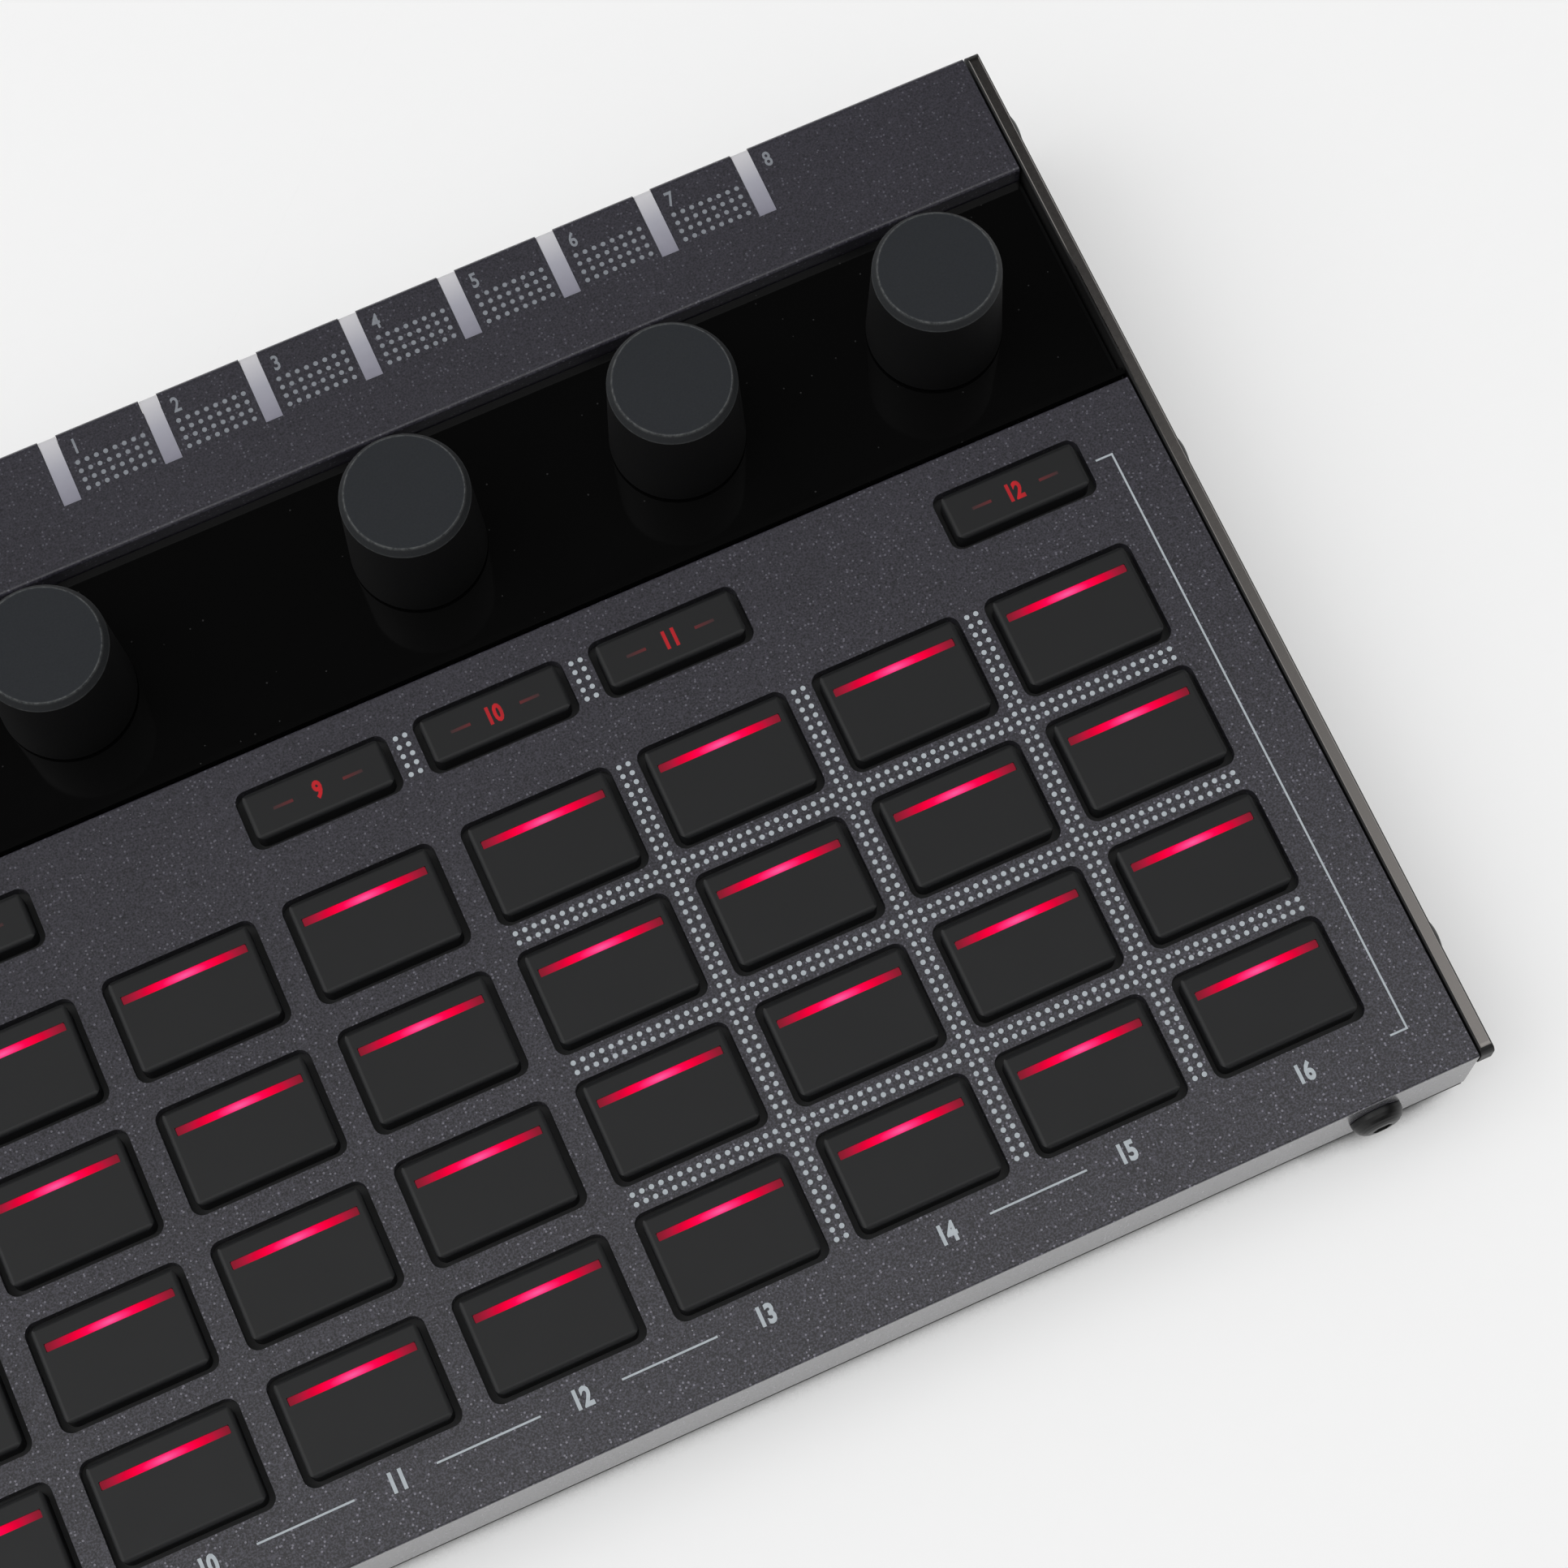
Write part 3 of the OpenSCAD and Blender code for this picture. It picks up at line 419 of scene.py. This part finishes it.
def glowLegend():
    glow = {
        "half": 5.0, "unlit": paint(24, 10, 10), "unlitEnd": paint(30, 26, 26),
        "stops": [
            (0.0, paint(184, 28, 36)), (0.3, paint(132, 29, 35)),
            (0.6, paint(84, 32, 35)), (1.0, paint(52, 34, 35)),
        ],
    }
    f = Finish("glowLegend", {"Specular IOR Level": 0.2, "Roughness": 0.6, "Emission Strength": 1.0})
    cell = (f.along(across, (0, 0, 0)) / panel["pitchX"]).math("FRACT")
    reach = abs(cell - 0.5) * (panel["pitchX"] / glow["half"])
    f.feed("Base Color", f.mix(reach, glow["unlit"], glow["unlitEnd"]))
    f.feed("Emission Color", f.ramp(reach, glow["stops"]))
    return f.material


# CAD nodes and their finishes
def dress(names, material):
    for name in names:
        mesh = nodes[name].data
        mesh.materials.clear()
        mesh.materials.append(material)


keyNodes = [f"step_keys_col_{c:02d}" for c in range(1, panel["columns"] + 1)]
buttonNodes = [f"function_button_{c:02d}" for c in panel["buttonColumns"]]
keyRubber = softRubber("keyRubber", paint(14, 15, 16), paint(21, 22, 24), 0.5)
blackPlastic = satinBlack("blackPlastic", grey(22), grey(32), 0.42)
tinned = metal("tinned", grey(190), 0.26, 0.2)
nickel = metal("nickel", paint(206, 205, 202), 0.2, 1.0)
board = circuitBoard()
dress(["top_panel", "rear_cover"], powderCoat())
dress(["left_cheek", "right_cheek"], cheekPlate())
dress(["base_tray"], satinBlack("baseBlack", grey(22), grey(30), 0.5))
dress(["control_strip"], polishedBlack())
dress(keyNodes + buttonNodes, keyRubber)
dress(["keypad_mat"], softRubber("matRubber", grey(52), grey(64), 0.6))
dress(["rubber_feet"], softRubber("footRubber", grey(18), grey(28), 0.6))
dress(["cheek_screws", "base_screws"], metal("blackOxide", grey(52), 0.34, 1.0))
dress(["main_board", "jack_board"], board)
dress(["board_standoffs"], metal("platedBrass", paint(206, 196, 170), 0.25, 1.0))
dress(["key_lamps"], lensWhite())
dress(["jack_sockets", "power_socket", "power_switch", "power_button"], blackPlastic)
dress(["jack_nuts", "encoder_nuts"], nickel)
dress(["usb_socket", "encoder_bodies"], tinned)
dress(["jack_light_guides"], frostedGuide())
dress(["display_module"], darkGlass())
for number in range(1, 5):
    dress([f"knob_{number}"], knobPlastic(number))
    dress([f"encoder_shaft_{number}"], tinned)
print("finishes set on", len(nodes), "nodes")


# Thin pieces are drawn in panel millimetres, then set on the panel
class Sheet:
    def __init__(self, low, high):
        self.low = low
        self.high = high
        self.mesh = bmesh.new()

    def prism(self, outline):
        bottom = [self.mesh.verts.new((x, y, self.low)) for x, y in outline]
        top = [self.mesh.verts.new((x, y, self.high)) for x, y in outline]
        self.mesh.faces.new(top)
        self.mesh.faces.new(bottom[::-1])
        for i in range(len(outline)):
            j = (i + 1) % len(outline)
            self.mesh.faces.new((bottom[i], bottom[j], top[j], top[i]))

    def dot(self, x, y, radius, sides=12):
        turns = [2 * math.pi * i / sides for i in range(sides)]
        self.prism([(x + radius * math.cos(t), y + radius * math.sin(t)) for t in turns])

    def block(self, left, front, right, rear):
        self.prism([(left, front), (right, front), (right, rear), (left, rear)])

    def slab(self, x, y, width, depth, radius, steps=4):   # a rectangle with round corners
        outline = []
        for quarter, (sideX, sideY) in enumerate([(1, 1), (-1, 1), (-1, -1), (1, -1)]):
            for step in range(steps + 1):
                turn = math.pi / 2 * (quarter + step / steps)
                outline.append((x + sideX * (width / 2 - radius) + radius * math.cos(turn),
                                y + sideY * (depth / 2 - radius) + radius * math.sin(turn)))
        self.prism(outline)

    def numeral(self, text, x, y, height, squeeze=0.76, weight=0.042):
        curve = bpy.data.curves.new("numeral", "FONT")
        curve.body = text
        curve.offset = weight
        curve.resolution_u = 3
        holder = bpy.data.objects.new("numeral", curve)
        bpy.context.scene.collection.objects.link(holder)
        curve.fill_mode = "BOTH"
        curve.extrude = 0.5
        bpy.context.view_layer.update()
        shape = bpy.data.meshes.new_from_object(holder.evaluated_get(bpy.context.evaluated_depsgraph_get()))
        lows = [min(v.co[k] for v in shape.vertices) for k in range(3)]
        highs = [max(v.co[k] for v in shape.vertices) for k in range(3)]
        grow = height / (highs[1] - lows[1])
        for v in shape.vertices:
            v.co = (x + (v.co.x - (lows[0] + highs[0]) / 2) * grow * squeeze,
                    y + (v.co.y - (lows[1] + highs[1]) / 2) * grow,
                    self.high if v.co.z > 0 else self.low)
        self.mesh.from_mesh(shape)
        bpy.data.meshes.remove(shape)
        bpy.data.objects.remove(holder)
        bpy.data.curves.remove(curve)

    def piece(self, name, material, body):
        bmesh.ops.remove_doubles(self.mesh, verts=self.mesh.verts, dist=1e-5)
        bmesh.ops.recalc_face_normals(self.mesh, faces=self.mesh.faces)
        data = bpy.data.meshes.new(name)
        self.mesh.to_mesh(data)
        self.mesh.free()
        data.transform(panelMatrix)
        data.materials.append(material)
        made = bpy.data.objects.new(name, data)
        bpy.context.scene.collection.objects.link(made)
        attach(made, body)
        return made


# Prints on the panel: dot bands between the keys, the bracket, the step numbers
def panelPrints(ink):
    prints = {
        "dotR": 0.28, "dotX": 20 / 19, "dotY": 15 / 14, "first": 13,
        "bandFront": 9.9, "bandRear": 64.4, "bandLeft": 82.6, "bandRight": 157.4,
        "line": 0.21, "bracketX": 161.4, "bracketFront": 5.6, "bracketRear": 75.0, "tick": 1.9,
        "labelY": 5.9, "labelH": 2.2, "joins": [(35.0, 45.4), (54.2, 65.4), (74.2, 84.6), (114.6, 125.4)],
        "fieldAfter": [12, 13], "fieldRows": range(-2, 3),
    }
    sheet = Sheet(panel["inkLow"], panel["inkHigh"])
    across2 = (-prints["dotX"] / 2, prints["dotX"] / 2)
    along2 = (-prints["dotY"] / 2, prints["dotY"] / 2)
    spots = set()

    def stamp(xs, ys):   # rounded, so that no dot is set twice
        spots.update((round(x, 3), round(y, 3)) for x in xs for y in ys)

    webs = [columnX(c) + panel["pitchX"] / 2 for c in range(prints["first"], panel["columns"])]
    for web in webs:
        for step in range(round((prints["bandRear"] - prints["bandFront"]) / prints["dotY"]) + 1):
            stamp([web + dx for dx in across2], [prints["bandFront"] + step * prints["dotY"]])
    for row in range(1, panel["rows"]):
        rowWeb = rowY(row) + panel["pitchY"] / 2
        for step in range(round((prints["bandRight"] - prints["bandLeft"]) / prints["dotX"]) + 1):
            x = prints["bandLeft"] + step * prints["dotX"]
            if min(abs(x - web) for web in webs) > prints["dotX"]:   # the crossings have their dots already
                stamp([x], [rowWeb + dy for dy in along2])
    for column in prints["fieldAfter"]:
        web = columnX(column) + panel["pitchX"] / 2
        for step in prints["fieldRows"]:
            stamp([web + dx for dx in across2], [panel["buttonRow"] + step * prints["dotY"]])
    for x, y in sorted(spots):
        sheet.dot(x, y, prints["dotR"])
    half = prints["line"] / 2
    x, front, rear = prints["bracketX"], prints["bracketFront"], prints["bracketRear"]
    sheet.block(x - half, front, x + half, rear)
    for y in (front + half, rear - half):
        sheet.block(x - prints["tick"], y - half, x - half, y + half)
    for left, right in prints["joins"]:
        sheet.block(left, prints["labelY"] - half, right, prints["labelY"] + half)
    for column in range(1, panel["columns"] + 1):
        sheet.numeral(str(column), columnX(column), prints["labelY"], prints["labelH"])
    return sheet.piece("panel_prints", ink, "chassis")


# Prints on the ridge: a number beside each numbered light guide, and a dot field beside all but one
def ridgePrints(ink):
    ridge = {
        "guideX": 139.7, "pitch": 11.62, "numbers": 8, "numberX": 2.55, "numberY": 121.9, "numberH": 1.8,
        "weight": 0.02, "dotR": 0.27, "dotStep": 1.07, "fieldX": 2.15, "fieldY": 116.8,
        "across": 8, "deep": 4,
    }
    sheet = Sheet(panel["inkLow"], panel["inkHigh"])
    for k in range(ridge["numbers"]):
        x = ridge["guideX"] - k * ridge["pitch"]
        number, numberX = str(ridge["numbers"] - k), x + ridge["numberX"]
        sheet.numeral(number, numberX, ridge["numberY"], ridge["numberH"], weight=ridge["weight"])
        if k == 0:   # the rightmost guide has its number alone
            continue
        for i in range(ridge["across"]):
            for j in range(ridge["deep"]):
                dotX = x + ridge["fieldX"] + i * ridge["dotStep"]
                sheet.dot(dotX, ridge["fieldY"] + j * ridge["dotStep"], ridge["dotR"])
    return sheet.piece("ridge_prints", ink, "chassis")


# One light bar in the slot of every step key
def lightBars(material):
    bar = {"behind": 2.8, "width": 13.7, "depth": 0.84, "low": 0.79, "high": 1.17, "radius": 0.14}
    for column, node in enumerate(keyNodes, 1):
        sheet = Sheet(bar["low"], bar["high"])
        for row in range(1, panel["rows"] + 1):
            sheet.slab(columnX(column), rowY(row) + bar["behind"], bar["width"], bar["depth"], bar["radius"])
        sheet.piece(f"light_bars_col_{column:02d}", material, node)


# Function buttons carry a plain number between two dashes, lit from below
def buttonLegends(material):
    legend = {"height": 2.1, "dash": 2.2, "dashX": 3.9, "line": 0.34, "low": 1.19, "high": 1.215}
    for number, (column, node) in enumerate(zip(panel["buttonColumns"], buttonNodes), 1):
        sheet = Sheet(legend["low"], legend["high"])
        x, y = columnX(column), panel["buttonRow"]
        sheet.numeral(str(number), x, y, legend["height"])
        for side in (-1, 1):
            middle = x + side * legend["dashX"]
            sheet.block(middle - legend["dash"] / 2, y - legend["line"] / 2,
                        middle + legend["dash"] / 2, y + legend["line"] / 2)
        sheet.piece(f"button_legend_{column:02d}", material, node)


panelPrints(printInk("panelInk", paint(158, 165, 171), paint(186, 193, 198)))
ridgePrints(printInk("ridgeInk", paint(116, 120, 127), paint(140, 144, 150)))
lightBars(glowBar())
buttonLegends(glowLegend())
print("prints, light bars and legends made")


# Floor, light and camera
def whiteFloor():
    floor = {
        "half": 3.0, "drop": 0.0001, "white": grey(248), "paper": grey(246), "grain": 3,
        "rough": 0.7, "grainRough": 0.1,
        "glow": 0.42,   # how much of it shows as plain white, away from the painted contact shadow where the part meets it
        "line": grey(80), "near": 7 * mm, "shut": 0.43, "open": 0.58, "samples": 16,
    }
    data = bpy.data.meshes.new("floor")
    corners = [(-1, -1), (1, -1), (1, 1), (-1, 1)]
    points = [(x * floor["half"], y * floor["half"], -floor["drop"]) for x, y in corners]
    data.from_pydata(points, [], [(0, 1, 2, 3)])
    f = Finish("floorWhite", {"Specular IOR Level": 0.2})
    paper = f.noise(floor["grain"], 3)
    settings = {"samples": floor["samples"]}
    # Painted shadow: the floor's colour darkens towards the line grey where ambient occlusion finds the part
    # close
    around = f.node("ShaderNodeAmbientOcclusion", settings, {"Distance": floor["near"]}, out="AO")
    clear = ((around - floor["shut"]) / (floor["open"] - floor["shut"])).clip()
    f.feed("Base Color", f.mix(clear, floor["line"], f.mix(paper, floor["white"], floor["paper"])))
    f.feed("Roughness", floor["rough"] + paper * floor["grainRough"])
    plain = f.node("ShaderNodeEmission", None, {"Color": floor["white"], "Strength": 1.0})
    lit = Wire(f, f.shader.outputs[0])
    shown = f.node("ShaderNodeMixShader", None, {0: f.seen() * clear * floor["glow"], 1: lit, 2: plain})
    f.plug(f.tree.nodes["Material Output"].inputs["Surface"], shown)
    data.materials.append(f.material)
    made = bpy.data.objects.new("floor", data)
    bpy.context.scene.collection.objects.link(made)


def lamps():
    lamp = {"place": (-1.8, 0.1, 2.2), "aim": (0.06, 0, 0.02), "size": 1.8, "power": 12.0}
    data = bpy.data.lights.new("softLamp", "AREA")
    data.size = lamp["size"]
    data.energy = lamp["power"]
    holder = bpy.data.objects.new("softLamp", data)
    holder.location = lamp["place"]
    ray = Vector(lamp["aim"]) - Vector(lamp["place"])
    holder.rotation_euler = ray.to_track_quat("-Z", "Y").to_euler()
    bpy.context.scene.collection.objects.link(holder)


# The studio shows as a white ring, a dark wall above it, and a white ceiling that ends over the strip;
# its light falls on the part from a soft box overhead, a little to the left
def studioSky():
    sky = {
        "ringTop": 0.3, "ceilingFoot": 0.6, "ceilingEnd": 0.22, "wallX": 0.45, "wall": 0.5, "dark": 0.03,
        "soft": 0.16, "front": -0.35,   # mirrors show no ring farther to the front
        "from": (-0.33, -0.14, 0.933), "even": 0.3, "box": 3.0, "tight": 8,
    }
    world = bpy.data.worlds.new("studio")
    bpy.context.scene.world = world
    world.use_nodes = True
    t = Tree(world.node_tree)
    direction = t.node("ShaderNodeTexCoord", out="Generated")
    x, y, z = (t.node("ShaderNodeSeparateXYZ", None, {0: direction}, out=axis) for axis in "XYZ")
    camera = t.node("ShaderNodeLightPath", out="Is Camera Ray")
    ring = ((sky["ringTop"] - z) / sky["soft"]).clip() * (camera + (y - sky["front"]) / sky["soft"]).clip()
    overhead = ((z - sky["ceilingFoot"]) / sky["soft"]).clip()
    ceiling = overhead * ((sky["ceilingEnd"] - y) / sky["ceilingEnd"]).clip()
    wall = ((-sky["wallX"] - x) / sky["soft"]).clip() * sky["wall"]
    shown = (ring + ceiling + wall + sky["dark"]).clip()
    sockets = {0: direction, 1: sky["from"]}
    facing = t.node("ShaderNodeVectorMath", {"operation": "DOT_PRODUCT"}, sockets, out="Value")
    falling = facing.clip().math("POWER", sky["tight"]) * sky["box"] + sky["even"]
    level = falling + (shown - falling) * t.seen()
    colour = t.node("ShaderNodeCombineColor", None, {0: level, 1: level, 2: level})
    t.plug(t.tree.nodes["Background"].inputs["Color"], colour)


def photoCamera():
    view = {
        "place": (67.53, -59.93, 396.9), "aim": (114.4, 55.79, 0), "roll": 2.364,
        "lens": 91.836, "sensor": 36, "nearest": 0.01,
    }
    place, aim = panelMatrix @ Vector(view["place"]), panelMatrix @ Vector(view["aim"])
    forward = (aim - place).normalized()
    right = Matrix.Rotation(math.radians(view["roll"]), 3, forward) @ forward.cross(upward).normalized()
    data = bpy.data.cameras.new("photoCamera")
    data.lens = view["lens"]
    data.sensor_width = view["sensor"]
    data.clip_start = view["nearest"]
    camera = bpy.data.objects.new("photoCamera", data)
    turn = Matrix((right, right.cross(forward), -forward)).transposed()
    camera.matrix_world = Matrix.Translation(place) @ turn.to_4x4()
    bpy.context.scene.collection.objects.link(camera)
    bpy.context.scene.camera = camera


whiteFloor()
lamps()
studioSky()
photoCamera()
bpy.context.scene.view_settings.view_transform = "Standard"
print("floor, light and camera set")
